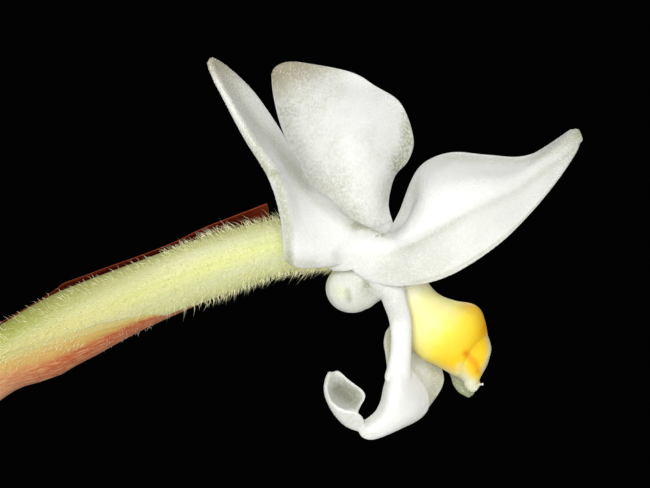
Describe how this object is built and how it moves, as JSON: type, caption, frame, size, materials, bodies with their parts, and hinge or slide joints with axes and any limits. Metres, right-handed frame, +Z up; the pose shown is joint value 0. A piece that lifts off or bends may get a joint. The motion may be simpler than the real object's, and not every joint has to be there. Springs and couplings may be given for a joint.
{
  "type": "jewel orchid in vase",
  "caption": "Cut white jewel orchid bloom with a yellow column, a hairy green ovary and a red bract, on a stalk in a small plain bud vase of water.",
  "frame": {"origin": "centre of the flat foot of the vase, on the surface that it stands on", "axes": "+Z up along the vase's axis, +X the way the bloom leans and faces, +Y away from the side that the picture shows"},
  "size_m": [0.0539, 0.026, 0.0681],
  "materials": {
    "celadon_glaze": "gloss",
    "water": "gloss",
    "stalk_skin": "satin",
    "ovary_skin": "satin",
    "bract_skin": "satin",
    "white_petal": "satin",
    "lip_white": "satin",
    "column_cream": "satin",
    "anther_yellow": "satin"
  },
  "bodies": {
    "root": {"vase": "celadon_glaze", "water": "water", "stalk": "stalk_skin", "ovary": "ovary_skin", "bract": "bract_skin", "lateral_sepal_near": "white_petal", "lateral_sepal_far": "white_petal", "dorsal_sepal": "white_petal", "petal_near": "white_petal", "petal_far": "white_petal", "lip": "lip_white", "column": "column_cream", "anther_cap": "anther_yellow"}
  },
  "joints": []
}
